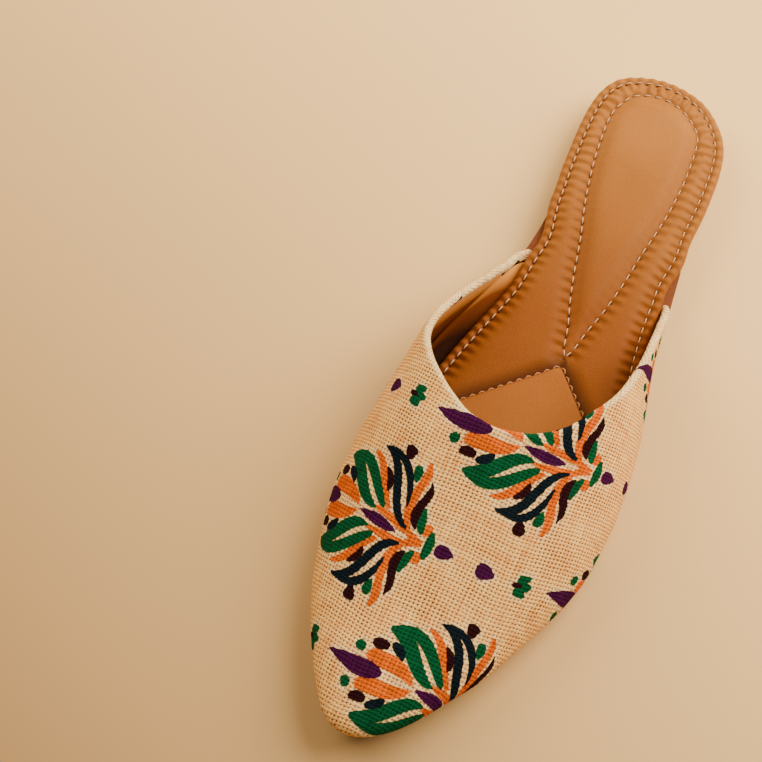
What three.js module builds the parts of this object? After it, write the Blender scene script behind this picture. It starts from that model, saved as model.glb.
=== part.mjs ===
// A flat mule for the left foot, empty, standing on its sole.
// Millimetres, +Z up. The toe points to -Y and the big toe's side is -X.
// The origin is on the floor, under the middle of the shoe.

import * as THREE from "three";
import { mergeVertices } from "three/addons/utils/BufferGeometryUtils.js";

// Sizes
const length = 267; // outsole, toe tip to heel back
const ballWidth = 82.6; // outsole across the ball
const heelWidth = 51.1; // outsole across the heel
const instepHeight = 46.5; // floor to the top of the vamp where the throat starts
const heelHeight = 6; // heel block and its seam
const heelLength = 62; // heel block, breast to back
const toeSpring = 6; // outsole's tip over the floor
const soleThickness = 4;
const soleRound = 1; // round of the outsole's lower edge
const heelStep = 0.3; // heel block's top inside the outsole's edge
const heelTaper = 1.2; // heel block, how far its foot is drawn in
const upperWall = 2;
const flankHeight = 6.6; // sole to the upper's widest line, at the ball
const bulge = 5; // upper past the outsole's edge, most, at the inner waist
const ledge = 0.5; // outsole past the foot of the upper
const overhang = 1; // insole past the outsole's edge, behind the upper
const insoleThickness = 4.1; // at its seams
const quiltRise = 1.7; // how far the padding stands over its seams
const rollWidth = 2.6; // rounded border of the insole
const borderStitch = 3.2; // insole's edge to its outer row of stitches
const troughWidth = 3.5; // how far beside a seam the padding dips
const lipRound = 0.9; // how far the rolled topline stands past the wall's end
const clearance = 0.3; // between neighbouring pieces
const fitting = 0.5; // insole to the upper's inner wall
const behind = 0.8; // the outsole's middle lies this far behind the origin
const inward = 0.35; // the axis of the tables lies this far towards the big toe's side

// Sections of the outsole from the toe tip back. Centre is a share of the ball width, and half is a
// share of half the width there, which passes from the ball's to the heel's.
const outline = [
  { at: 0, centre: -0.098, half: 0 },
  { at: 0.039, centre: -0.081, half: 0.339 },
  { at: 0.078, centre: -0.072, half: 0.501 },
  { at: 0.117, centre: -0.058, half: 0.639 },
  { at: 0.157, centre: -0.05, half: 0.748 },
  { at: 0.197, centre: -0.036, half: 0.843 },
  { at: 0.246, centre: -0.018, half: 0.942 },
  { at: 0.295, centre: -0.002, half: 0.995 },
  { at: 0.344, centre: 0.013, half: 1 },
  { at: 0.393, centre: 0.029, half: 0.981 },
  { at: 0.452, centre: 0.044, half: 0.932 },
  { at: 0.512, centre: 0.054, half: 0.9 },
  { at: 0.571, centre: 0.07, half: 0.891 },
  { at: 0.63, centre: 0.092, half: 0.916 },
  { at: 0.68, centre: 0.102, half: 0.99 },
  { at: 0.725, centre: 0.109, half: 0.997 },
  { at: 0.774, centre: 0.104, half: 0.961 },
  { at: 0.83, centre: 0.104, half: 0.995 },
  { at: 0.879, centre: 0.102, half: 1 },
  { at: 0.913, centre: 0.097, half: 0.977 },
  { at: 0.942, centre: 0.086, half: 0.905 },
  { at: 0.962, centre: 0.073, half: 0.8 },
  { at: 0.982, centre: 0.062, half: 0.618 },
  { at: 1, centre: 0.058, half: 0 },
];

// The outsole's underside: spring is a share of the toe spring, lift of the heel height.
const underside = [
  { at: 0, spring: 1, lift: 0 },
  { at: 0.08, spring: 0.5, lift: 0 },
  { at: 0.16, spring: 0.14, lift: 0 },
  { at: 0.25, spring: 0, lift: 0 },
  { at: 0.4, spring: 0, lift: 0 },
  { at: 0.5, spring: 0, lift: 0.16 },
  { at: 0.6, spring: 0, lift: 0.55 },
  { at: 0.7, spring: 0, lift: 0.93 },
  { at: 0.75, spring: 0, lift: 1 },
  { at: 1, spring: 0, lift: 1 },
];

// The upper's form over that outline. Flank is a share of the flank's height, medial and lateral are
// shares of the bulge, and crown is a share of the height that the vamp reaches over its flank at the
// throat. Full squares the section up from an ellipse, at 2. Ridge moves the crown sideways, as a share
// of half the width, and past the throat crown only shapes the wings' walls.
const form = [
  { at: 0, flank: 0.68, medial: 0.5, lateral: 0.5, crown: 0, full: 2, ridge: 0 },
  { at: 0.03, flank: 0.72, medial: 0.46, lateral: 0.56, crown: 0.17, full: 2, ridge: -0.01 },
  { at: 0.06, flank: 0.77, medial: 0.44, lateral: 0.56, crown: 0.25, full: 2, ridge: -0.03 },
  { at: 0.12, flank: 0.85, medial: 0.5, lateral: 0.56, crown: 0.375, full: 2, ridge: -0.06 },
  { at: 0.2, flank: 0.92, medial: 0.54, lateral: 0.57, crown: 0.57, full: 2, ridge: -0.09 },
  { at: 0.27, flank: 0.96, medial: 0.56, lateral: 0.52, crown: 0.76, full: 2, ridge: -0.12 },
  { at: 0.36, flank: 1, medial: 0.68, lateral: 0.44, crown: 1, full: 2.05, ridge: -0.15 },
  { at: 0.45, flank: 1, medial: 0.88, lateral: 0.36, crown: 1.2, full: 2.15, ridge: -0.15 },
  { at: 0.5, flank: 0.98, medial: 0.94, lateral: 0.3, crown: 1.31, full: 2.2, ridge: -0.14 },
  { at: 0.55, flank: 0.95, medial: 0.84, lateral: 0.2, crown: 1.4, full: 2.3, ridge: -0.12 },
  { at: 0.62, flank: 0.85, medial: 0.6, lateral: 0.16, crown: 1.52, full: 2.4, ridge: -0.1 },
  { at: 0.7, flank: 0.7, medial: 0.3, lateral: 0.16, crown: 1.6, full: 2.4, ridge: -0.1 },
  { at: 1, flank: 0.7, medial: 0.3, lateral: 0.16, crown: 1.6, full: 2.4, ridge: -0.1 },
];

// Where the topline crosses the sections. Round runs from 0 at the sole on the big toe's side over the
// crown to 1 at the sole on the other side.
const topline = [
  { round: 0, at: 0.688 },
  { round: 0.03, at: 0.677 },
  { round: 0.06, at: 0.664 },
  { round: 0.088, at: 0.644 },
  { round: 0.114, at: 0.61 },
  { round: 0.136, at: 0.578 },
  { round: 0.164, at: 0.543 },
  { round: 0.2, at: 0.506 },
  { round: 0.242, at: 0.473 },
  { round: 0.317, at: 0.43 },
  { round: 0.385, at: 0.4 },
  { round: 0.435, at: 0.38 },
  { round: 0.49, at: 0.364 },
  { round: 0.54, at: 0.36 },
  { round: 0.6, at: 0.368 },
  { round: 0.663, at: 0.396 },
  { round: 0.717, at: 0.441 },
  { round: 0.756, at: 0.477 },
  { round: 0.796, at: 0.522 },
  { round: 0.856, at: 0.585 },
  { round: 0.888, at: 0.617 },
  { round: 0.92, at: 0.643 },
  { round: 0.96, at: 0.663 },
  { round: 1, at: 0.675 },
];
const flankRound = 0.08; // share of round that each flank takes

// The insole's teardrop seam, its tip forward. Centre is a share of the ball width, half of half the
// heel width.
const teardrop = [
  { at: 0.556, centre: 0.108, half: 0 },
  { at: 0.595, centre: 0.112, half: 0.12 },
  { at: 0.635, centre: 0.113, half: 0.24 },
  { at: 0.68, centre: 0.113, half: 0.345 },
  { at: 0.725, centre: 0.11, half: 0.425 },
  { at: 0.77, centre: 0.105, half: 0.525 },
  { at: 0.815, centre: 0.101, half: 0.6 },
  { at: 0.865, centre: 0.095, half: 0.645 },
  { at: 0.905, centre: 0.089, half: 0.65 },
  { at: 0.93, centre: 0.086, half: 0.62 },
  { at: 0.947, centre: 0.077, half: 0.52 },
  { at: 0.962, centre: 0.065, half: 0.38 },
  { at: 0.973, centre: 0.062, half: 0 },
];
const chevronAt = 0.542; // corner of the seam in front of the teardrop
const chevronCentre = 0.11; // share of the ball width
const chevronTurn = THREE.MathUtils.degToRad(-7); // its axis, swung with the forepart
const chevronReach = 0.25; // how far forward its arms run, as a share of the length

// How finely the surfaces are cut
const soleStations = 46;
const heelStations = 18;
const insoleStations = 60;
const upperRows = 30;
const upperColumns = 44;
const seamPoints = 60;
const toplineSteps = 400;

// Curves through tables

// A smooth curve through one column of a table that never overshoots its rows. With squared it runs
// through the squares, so that it leaves a zero upright, as the end of a round outline does.
function curve(rows, column, along = "at", squared = false) {
  const x = rows.map((row) => row[along]);
  const y = rows.map((row) => (squared ? row[column] ** 2 : row[column]));
  const last = x.length - 1;
  const slopes = [];
  for (let i = 0; i < last; i += 1) slopes.push((y[i + 1] - y[i]) / (x[i + 1] - x[i]));
  const tangents = [slopes[0]];
  for (let i = 1; i < last; i += 1) {
    const before = slopes[i - 1];
    const after = slopes[i];
    const span = x[i] - x[i - 1];
    const next = x[i + 1] - x[i];
    const mean = (3 * (span + next)) / ((2 * next + span) / before + (next + 2 * span) / after);
    tangents.push(before * after > 0 ? mean : 0);
  }
  tangents.push(slopes[last - 1]);
  return (place) => {
    const at = THREE.MathUtils.clamp(place, x[0], x[last]);
    let i = 0;
    while (i < last - 1 && at > x[i + 1]) i += 1;
    const span = x[i + 1] - x[i];
    const t = (at - x[i]) / span;
    const start = y[i] * (1 + 2 * t) * (1 - t) ** 2 + span * tangents[i] * t * (1 - t) ** 2;
    const end = y[i + 1] * t * t * (3 - 2 * t) - span * tangents[i + 1] * t * t * (1 - t);
    return squared ? Math.sqrt(Math.max(start + end, 0)) : start + end;
  };
}

const centreShare = curve(outline, "centre");
const halfShare = curve(outline, "half", "at", true);
const springShare = curve(underside, "spring");
const liftShare = curve(underside, "lift");
const flankShare = curve(form, "flank");
const medialShare = curve(form, "medial");
const lateralShare = curve(form, "lateral");
const crownShare = curve(form, "crown", "at", true);
const fullness = curve(form, "full");
const ridgeShare = curve(form, "ridge");
const toplineAt = curve(topline, "at", "round");

// The outsole's outline

const MEDIAL = -1;
const LATERAL = 1;
const waistStart = 0.45; // where the width starts to pass from the ball's to the heel's
const waistEnd = 0.75;

function alongLength(at) {
  return behind + (at - 0.5) * length;
}

function acrossShoe(centre) {
  return centre * ballWidth - inward;
}

function outlinePoint(at, side) {
  const toHeel = THREE.MathUtils.smoothstep(at, waistStart, waistEnd);
  const width = THREE.MathUtils.lerp(ballWidth, heelWidth, toHeel);
  const x = acrossShoe(centreShare(at)) + (side * halfShare(at) * width) / 2;
  return new THREE.Vector2(x, alongLength(at));
}

// Stations bunch towards both ends, where the outline turns fastest.
function stationAt(station) {
  return (1 - Math.cos(Math.PI * station)) / 2;
}

function stationOf(at) {
  return Math.acos(1 - 2 * at) / Math.PI;
}

// The outline's outward direction in plan. At both ends it is straight out along the length.
function outward(station, side) {
  const step = 1e-3;
  if (station < step) return new THREE.Vector2(0, -1);
  if (station > 1 - step) return new THREE.Vector2(0, 1);
  const before = outlinePoint(stationAt(station - step), side);
  const after = outlinePoint(stationAt(station + step), side);
  const tangent = after.sub(before).normalize();
  return new THREE.Vector2(tangent.y * side, -tangent.x * side);
}

// A point beside the outsole's outline: out is how far outside it.
function edgePoint(station, side, out) {
  return outlinePoint(stationAt(station), side).addScaledVector(outward(station, side), out);
}

function soleBottom(at) {
  return toeSpring * springShare(at) + heelHeight * liftShare(at);
}

function soleTop(at) {
  return soleBottom(at) + soleThickness;
}

function lengthShare(y) {
  return THREE.MathUtils.clamp((y - behind) / length + 0.5, 0, 1);
}

// Meshes

const mergeDistance = 1e-3;

// Collects faces between named points, merges the points that meet and leaves out faces that close up.
class Surface {
  constructor() {
    this.positions = [];
  }

  triangle(a, b, c) {
    for (const point of [a, b, c]) this.positions.push(point.x, point.y, point.z);
  }

  quad(a, b, c, d) {
    this.triangle(a, b, c);
    this.triangle(a, c, d);
  }

  // Rows of points as a sheet. Flip turns its faces to the other side.
  sheet(rows, flip = false) {
    for (let i = 0; i + 1 < rows.length; i += 1) {
      for (let j = 0; j + 1 < rows[i].length; j += 1) {
        const corners = [rows[i][j], rows[i + 1][j], rows[i + 1][j + 1], rows[i][j + 1]];
        if (flip) corners.reverse();
        this.quad(...corners);
      }
    }
  }

  geometry() {
    const loose = new THREE.BufferGeometry();
    loose.setAttribute("position", new THREE.Float32BufferAttribute(this.positions, 3));
    const merged = mergeVertices(loose, mergeDistance);
    const index = merged.getIndex().array;
    const kept = [];
    for (let i = 0; i < index.length; i += 3) {
      const [a, b, c] = index.subarray(i, i + 3);
      if (a !== b && b !== c && c !== a) kept.push(a, b, c);
    }
    merged.setIndex(kept);
    merged.computeVertexNormals();
    return merged;
  }
}

function lifted(point, z) {
  return new THREE.Vector3(point.x, point.y, z);
}

// A solid through rings of points, one ring to a station, closed along each ring. An end where the two
// sides of the ring meet is closed already, and any other end gets a flat face.
function loft(rings) {
  const surface = new Surface();
  surface.sheet(rings.map((ring) => [...ring, ring[0]]), true);
  const ends = [rings[0], [...rings[rings.length - 1]].reverse()];
  for (const end of ends) {
    if (end[0].distanceTo(end[end.length - 1]) < mergeDistance) continue;
    for (let k = 1; k + 1 < end.length; k += 1) surface.triangle(end[0], end[k + 1], end[k]);
  }
  return surface.geometry();
}

// One ring across the shoe: levels lists how far out each level lies and its height, from the bottom up.
function ring(station, levels) {
  const medial = levels.map(([out, z]) => lifted(edgePoint(station, MEDIAL, out), z));
  const lateral = levels.map(([out, z]) => lifted(edgePoint(station, LATERAL, out), z));
  return [...medial, ...lateral.reverse()];
}

// Outsole

const roundMiddle = 0.3; // where the lower edge's round is cut, as a share of it

function outsoleGeometry() {
  const rings = [];
  for (let i = 0; i <= soleStations; i += 1) {
    const station = i / soleStations;
    const bottom = soleBottom(stationAt(station));
    rings.push(
      ring(station, [
        [-soleRound, bottom],
        [-soleRound * roundMiddle, bottom + soleRound * roundMiddle],
        [0, bottom + soleRound],
        [0, bottom + soleThickness],
      ]),
    );
  }
  return loft(rings);
}

// Heel block

function heelGeometry() {
  const breast = stationOf(1 - heelLength / length);
  const rings = [];
  for (let i = 0; i <= heelStations; i += 1) {
    const station = THREE.MathUtils.lerp(breast, 1, i / heelStations);
    const top = soleBottom(stationAt(station)) - clearance;
    rings.push(
      ring(station, [
        [-soleRound - heelTaper, 0],
        [-heelTaper, soleRound],
        [-heelStep, top],
      ]),
    );
  }
  return loft(rings);
}

// Upper

const instepRise = instepHeight - soleThickness - flankHeight;

// A point of the upper's outer face.
function upperPoint(station, round) {
  const at = stationAt(station);
  const foot = soleTop(at) + clearance;
  const flank = flankHeight * flankShare(at);
  const widest = (side) => {
    const share = side === MEDIAL ? medialShare(at) : lateralShare(at);
    return edgePoint(station, side, bulge * share);
  };
  const lower = Math.min(round, 1 - round) / flankRound;
  if (lower < 1) {
    const side = round < 0.5 ? MEDIAL : LATERAL;
    const footPoint = edgePoint(station, side, -ledge);
    return lifted(footPoint.lerp(widest(side), 1 - (1 - lower) ** 2), foot + flank * lower);
  }
  const angle = (Math.PI * (round - flankRound)) / (1 - 2 * flankRound);
  const full = fullness(at);
  const rise = Math.max(Math.sin(angle), 0);
  const reach = (Math.abs(Math.cos(angle)) ** full + rise ** full) ** (-1 / full);
  const across = -Math.cos(angle) * reach;
  const up = rise * reach;
  const shift = ridgeShare(at) * up * up;
  const point = widest(MEDIAL).lerp(widest(LATERAL), (1 + across + shift) / 2);
  return lifted(point, foot + flank + instepRise * crownShare(at) * up);
}

// The matching point of the inner face, one wall in. On the flank it is moved level, so that the wall
// stands flat on the sole.
function upperInside(station, round) {
  const outer = upperPoint(station, round);
  const lower = Math.min(round, 1 - round) / flankRound;
  if (lower <= 1) {
    const inwards = outward(station, round < 0.5 ? MEDIAL : LATERAL).multiplyScalar(-upperWall);
    return outer.add(lifted(inwards, 0));
  }
  if (station === 0) return outer.add(new THREE.Vector3(0, upperWall, 0));
  return outer.addScaledVector(upperNormal(station, round), -upperWall);
}

function upperNormal(station, round) {
  const step = 1e-3;
  const along = upperPoint(station + step, round).sub(upperPoint(Math.max(station - step, 0), round));
  const around = upperPoint(station, round + step).sub(upperPoint(station, round - step));
  return around.cross(along).normalize();
}

// The rounds that get a line of points from the toe tip to the topline: both flanks alike, so that they
// meet at the tip, and between them as many as keep the topline evenly cut.
function upperRounds() {
  const flanks = [0, 0.5, 1].map((share) => share * flankRound);
  const reach = [0];
  const rounds = [flankRound];
  let before = upperPoint(stationOf(toplineAt(flankRound)), flankRound);
  for (let i = 1; i <= toplineSteps; i += 1) {
    const round = THREE.MathUtils.lerp(flankRound, 1 - flankRound, i / toplineSteps);
    const point = upperPoint(stationOf(toplineAt(round)), round);
    reach.push(reach[i - 1] + point.distanceTo(before));
    rounds.push(round);
    before = point;
  }
  const between = [];
  for (let k = 1; k < upperColumns; k += 1) {
    const wanted = (reach[toplineSteps] * k) / upperColumns;
    between.push(rounds[reach.findIndex((far) => far >= wanted)]);
  }
  return [...flanks, ...between, ...flanks.map((round) => 1 - round).reverse()];
}

function upperGeometry() {
  const rounds = upperRounds();
  const outer = [];
  const inner = [];
  for (let i = 0; i <= upperRows; i += 1) {
    const share = i / upperRows;
    const station = (round) => share * stationOf(toplineAt(round));
    outer.push(rounds.map((round) => upperPoint(station(round), round)));
    inner.push(rounds.map((round) => upperInside(station(round), round)));
  }
  const surface = new Surface();
  surface.sheet(outer, true);
  surface.sheet(inner);
  const last = rounds.length - 1;
  surface.sheet(outer.map((row, i) => [inner[i][0], row[0]]), true);
  surface.sheet(outer.map((row, i) => [row[last], inner[i][last]]), true);
  const outerEdge = outer[upperRows];
  const innerEdge = inner[upperRows];
  const lip = outerEdge.map((point, j) => {
    const along = outerEdge[Math.min(j + 1, last)].clone().sub(outerEdge[Math.max(j - 1, 0)]);
    const through = point.clone().sub(innerEdge[j]);
    const past = along.cross(through).normalize().negate();
    return point.clone().lerp(innerEdge[j], 0.5).addScaledVector(past, lipRound);
  });
  surface.sheet([outerEdge, lip, innerEdge], true);
  surface.triangle(outerEdge[0], lip[0], innerEdge[0]);
  surface.triangle(outerEdge[last], innerEdge[last], lip[last]);
  return surface.geometry();
}

// Insole

const ledgeStart = 0.008; // where its edge starts to pass out to its ledge, behind a wing's end
const ledgeEnd = 0.085; // and where it has reached it, both as shares of the length

// How far outside the outsole's outline the insole's edge lies: inside the upper's wall in front, and
// out to its own ledge behind the wings.
function insoleOut(station, side) {
  const wingEnd = side === MEDIAL ? topline[0].at : topline[topline.length - 1].at;
  const past = THREE.MathUtils.smoothstep(stationAt(station), wingEnd + ledgeStart, wingEnd + ledgeEnd);
  return THREE.MathUtils.lerp(-ledge - upperWall - fitting, overhang, past);
}

const teardropCentre = curve(teardrop, "centre");
const teardropHalf = curve(teardrop, "half", "at", true);
const teardropTip = teardrop[0].at;
const teardropBack = teardrop[teardrop.length - 1].at;

// Half the distance across between the seams at a place along the shoe: the teardrop's, and in front of
// it the two arms of the chevron.
function seamHalf(at) {
  if (at < chevronAt) return (chevronAt - at) * length;
  return at > teardropTip ? (teardropHalf(at) * heelWidth) / 2 : 0;
}

function seamCentre(at) {
  if (at > chevronAt) return acrossShoe(teardropCentre(at));
  return acrossShoe(chevronCentre) + Math.tan(chevronTurn) * (chevronAt - at) * length;
}

function seamLines() {
  const points = [];
  for (let i = 0; i <= seamPoints; i += 1) {
    const share = stationAt(i / seamPoints);
    const at = THREE.MathUtils.lerp(teardropTip, teardropBack, share);
    for (const side of [MEDIAL, LATERAL]) {
      const x = seamCentre(at) + side * seamHalf(at);
      points.push(new THREE.Vector2(x, alongLength(at)));
    }
  }
  for (let i = 0; i <= seamPoints; i += 1) {
    const at = chevronAt - (i / seamPoints) * chevronReach;
    for (const side of [MEDIAL, LATERAL]) {
      points.push(new THREE.Vector2(seamCentre(at) + side * seamHalf(at), alongLength(at)));
    }
  }
  return points;
}

// The quilted top over the outsole: full height in the middle of a panel, low at its seams.
function quilt(point, fromEdge, seams) {
  const toSeam = Math.min(...seams.map((seam) => seam.distanceTo(point)));
  const nearest = Math.min(toSeam, Math.abs(fromEdge - borderStitch));
  const rise = 1 - Math.exp(-((nearest / troughWidth) ** 2));
  return clearance + insoleThickness + quiltRise * rise;
}

// The rounded border, as shares of its width and of the thickness.
const border = [
  { depth: 0, height: 0 },
  { depth: 0, height: 0.3 },
  { depth: 0.12, height: 0.62 },
  { depth: 0.45, height: 0.92 },
  { depth: 0.9, height: 1 },
];
// Places across the middle, as shares of the way from the border to the seam and on to the centre.
const toSeamShares = [0.12, 0.5, 0.86, 1];
const pastSeamShares = [0.14, 0.5];
const leastSeamShare = 0.2; // the seam's place across, at its nearest to the border
const followEnd = 0.95; // the places across follow the teardrop only up to here
const middleFrom = 0.4; // the centre line stays between these shares of the width
const middleTo = 0.6;

function insoleGeometry() {
  const seams = seamLines();
  const tops = [];
  const feet = [];
  for (let i = 0; i <= insoleStations; i += 1) {
    const station = i / insoleStations;
    const at = stationAt(station);
    const half = [];
    const inset = (side, depth) => edgePoint(station, side, insoleOut(station, side) - depth);
    const start = { [MEDIAL]: inset(MEDIAL, borderStitch), [LATERAL]: inset(LATERAL, borderStitch) };
    const middleX = THREE.MathUtils.clamp(
      seamCentre(at),
      THREE.MathUtils.lerp(start[MEDIAL].x, start[LATERAL].x, middleFrom),
      THREE.MathUtils.lerp(start[MEDIAL].x, start[LATERAL].x, middleTo),
    );
    const middle = new THREE.Vector2(middleX, (start[MEDIAL].y + start[LATERAL].y) / 2);
    for (const side of [MEDIAL, LATERAL]) {
      const points = border.map(({ depth, height }) => {
        const place = inset(side, depth * rollWidth);
        return lifted(place, soleTop(at) + clearance + height * insoleThickness);
      });
      const room = Math.abs(middle.x - start[side].x);
      const away = 1 - seamHalf(Math.min(at, followEnd)) / Math.max(room, mergeDistance);
      const seamShare = THREE.MathUtils.clamp(away, leastSeamShare, 1);
      const shares = [0, ...toSeamShares.map((share) => share * seamShare)];
      for (const share of pastSeamShares) shares.push(THREE.MathUtils.lerp(seamShare, 1, share));
      for (const share of shares) {
        const place = start[side].clone().lerp(middle, share);
        const fromEdge = borderStitch + share * room;
        points.push(lifted(place, soleTop(lengthShare(place.y)) + quilt(place, fromEdge, seams)));
      }
      half.push(points);
    }
    const centreHeight = quilt(middle, borderStitch + start[LATERAL].x - middle.x, seams);
    const centre = lifted(middle, soleTop(lengthShare(middle.y)) + centreHeight);
    tops.push([...half[0], centre, ...half[1].reverse()]);
    feet.push([tops[i][tops[i].length - 1], tops[i][0]]);
  }
  const surface = new Surface();
  surface.sheet(tops, true);
  surface.sheet(feet, true);
  return surface.geometry();
}

// The shoe

const tanLeather = new THREE.MeshStandardMaterial({ color: 0xb9783f, roughness: 0.5, metalness: 0 });
const brownSole = new THREE.MeshStandardMaterial({ color: 0x9a5f2c, roughness: 0.6, metalness: 0 });
const brownHeel = new THREE.MeshStandardMaterial({ color: 0x8a5426, roughness: 0.6, metalness: 0 });
const jute = new THREE.MeshStandardMaterial({ color: 0xe3c7a0, roughness: 0.9, metalness: 0 });
jute.name = "woven cloth";

const shoe = new THREE.Group();
const pieces = [
  ["outsole", outsoleGeometry(), brownSole],
  ["heel_block", heelGeometry(), brownHeel],
  ["insole", insoleGeometry(), tanLeather],
  ["upper", upperGeometry(), jute],
];
for (const [name, geometry, material] of pieces) {
  const mesh = new THREE.Mesh(geometry, material);
  mesh.name = name;
  shoe.add(mesh);
}

export default shoe;
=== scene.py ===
# %% [markdown]
# # A flat mule with a printed cloth vamp
#
# This notebook dresses one left shoe in Blender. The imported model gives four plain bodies: an outsole, a
# heel block, an insole and an upper. The upper and the insole are drawn again finer, in the same place
# and from the same form, and the two rubber pieces are copied. Each gets a finish made of nodes.

# %% Load the plain model
from math import cos, pi, radians, sin

import bpy
import numpy as np
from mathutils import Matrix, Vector


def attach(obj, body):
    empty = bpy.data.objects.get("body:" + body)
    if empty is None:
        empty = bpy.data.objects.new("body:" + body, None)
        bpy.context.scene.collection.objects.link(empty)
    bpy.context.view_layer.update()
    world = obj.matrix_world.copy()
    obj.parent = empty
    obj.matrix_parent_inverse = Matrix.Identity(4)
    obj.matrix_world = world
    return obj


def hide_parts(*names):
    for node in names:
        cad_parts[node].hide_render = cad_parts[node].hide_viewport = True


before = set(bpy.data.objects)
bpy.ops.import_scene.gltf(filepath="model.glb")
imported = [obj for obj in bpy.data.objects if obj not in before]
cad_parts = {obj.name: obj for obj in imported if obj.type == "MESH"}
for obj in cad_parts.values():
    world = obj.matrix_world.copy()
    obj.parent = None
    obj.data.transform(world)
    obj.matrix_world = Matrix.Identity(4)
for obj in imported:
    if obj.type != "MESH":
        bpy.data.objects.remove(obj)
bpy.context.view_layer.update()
MM = 0.001

# %% [markdown]
# ## Camera, floor and light
#
# The photograph looks down at the shoe from 62 degrees, 22 degrees to the outer side of the toe, with a
# long lens. The shoe stands on a plain warm floor in soft daylight. That light could be a bright picture
# all round the scene, but square lamps are easier to aim, so there are two: a window over the heel on the
# outer side, and a weaker warm bounce from the inner side. The room's own glow fills what shadow is left.

# %% Camera
bpy.ops.object.camera_add(location=Vector((77.5, -314.9, 618.1)) * MM)
camera = bpy.context.object
camera.rotation_euler = Vector((-0.1785, 0.4342, -0.8829)).to_track_quat("-Z", "Y").to_euler()
camera.data.lens, camera.data.sensor_width = 96.85, 36
camera.data.clip_start, camera.data.clip_end = 0.05, 20
bpy.context.scene.camera = camera
print("camera", round(camera.location.length, 2), "m from the middle of the floor")


# %% Lamps, room and floor
def soft_lamp(name, direction, distance, size, watts, colour):
    """A square lamp that faces the shoe from a direction."""
    aim = Vector(direction).normalized()
    bpy.ops.object.light_add(type="AREA", location=aim * distance)
    lamp = bpy.context.object
    lamp.name = name
    lamp.rotation_euler = aim.to_track_quat("Z", "Y").to_euler()
    lamp.data.size, lamp.data.energy, lamp.data.color = size, watts, colour
    print(name, "lamp,", watts, "watts")


soft_lamp("window", (0.42, 0.42, 0.66), 0.86, 0.8, 18.5, (1.0, 0.87, 0.7))
soft_lamp("bounce", (-0.65, 0.2, 0.6), 0.9, 0.7, 7.0, (1.0, 0.83, 0.6))
sky = bpy.data.worlds.new("room")
sky.use_nodes = True
sky.node_tree.nodes["Background"].inputs["Color"].default_value = (1.0, 0.83, 0.62, 1)
sky.node_tree.nodes["Background"].inputs["Strength"].default_value = 0.3
bpy.context.scene.world = sky

bpy.ops.mesh.primitive_plane_add(size=6)
floor = bpy.context.object
floor.name = "floor"

# %% [markdown]
# ## Finishes as arithmetic
#
# A finish is a chain of nodes. Written out node by node it is long, so one small class wraps a node's
# output and lets Python's own signs add the Math nodes. Everything else goes through `node`.


# %% Signals
class Signal:
    """One output socket. Arithmetic with it adds Math nodes, and node() adds any other kind."""

    def __init__(self, tree, output):
        self.tree, self.output = tree, output

    def node(self, kind, settings, inputs, out=0):
        """A new node's output. Inputs are signals, numbers or colours, by name or by number."""
        made = self.tree.nodes.new("ShaderNode" + kind)
        for name, value in settings.items():
            setattr(made, name, value)
        for name, value in inputs.items():
            if isinstance(value, Signal):
                self.tree.links.new(value.output, made.inputs[name])
            elif isinstance(value, tuple) and made.inputs[name].type == "RGBA":
                made.inputs[name].default_value = (*value, 1)
            else:
                made.inputs[name].default_value = value
        return Signal(self.tree, made.outputs[out])

    def noise(self, scale, detail=2.0):
        """A soft random cloud over these coordinates, around a half."""
        return self.node("TexNoise", {}, {"Vector": self, "Scale": scale, "Detail": detail})

    def math(self, operation, *values):
        return self.node("Math", {"operation": operation}, dict(enumerate((self, *values))))

    def __add__(self, other):
        return self.math("ADD", other)

    def __sub__(self, other):
        return self.math("SUBTRACT", other)

    def __rsub__(self, other):
        return self.node("Math", {"operation": "SUBTRACT"}, {0: other, 1: self})

    def __mul__(self, other):
        return self.math("MULTIPLY", other)

    def __truediv__(self, other):
        return self.math("DIVIDE", other)

    def __mod__(self, other):
        return self.math("FLOORED_MODULO", other)

    def __pow__(self, other):
        return self.math("POWER", other)

    def __lt__(self, other):
        return self.math("LESS_THAN", other)

    def __gt__(self, other):
        return self.math("GREATER_THAN", other)

    def __abs__(self):
        return self.math("ABSOLUTE")

    def ramp(self, low, high, to_low=0.0, to_high=1.0):
        """A straight ramp between two values, held at its ends."""
        names = {"Value": self, "From Min": low, "From Max": high, "To Min": to_low, "To Max": to_high}
        return self.node("MapRange", {}, names)

    def mix(self, below, above):
        """A colour that passes from one to the other as this signal goes from 0 to 1."""
        settings = {"data_type": "RGBA"}
        return self.node("Mix", settings, {0: self, 6: below, 7: above}, out=2)


def finish(name):
    """A new material: its name, a starting signal of object coordinates, and its surface shader."""
    material = bpy.data.materials.new(name)
    material.use_nodes = True
    tree = material.node_tree
    shader = tree.nodes["Principled BSDF"]
    place = Signal(tree, tree.nodes.new("ShaderNodeTexCoord").outputs["Object"])
    return material, place, shader


def surface(shader, colour, roughness, height=None, relief=0.0):
    """Feeds a finish's colour, roughness and relief in metres to its shader."""
    tree = colour.tree
    tree.links.new(colour.output, shader.inputs["Base Color"])
    tree.links.new(roughness.output, shader.inputs["Roughness"])
    if height:
        bump = height.node("Bump", {}, {"Height": height, "Distance": relief, "Strength": 1.0})
        tree.links.new(bump.output, shader.inputs["Normal"])


def paint(r, g, b):
    """A colour as a screen shows it, 0 to 255, in Blender's linear values."""
    return tuple((c / 255 / 12.92) if c <= 10 else ((c / 255 + 0.055) / 1.055) ** 2.4 for c in (r, g, b))


def parts(vector, count=2):
    """The first numbers of a vector signal."""
    split = vector.node("SeparateXYZ", {}, {0: vector})
    return [Signal(split.tree, split.output.node.outputs[k]) for k in range(count)]


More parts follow.
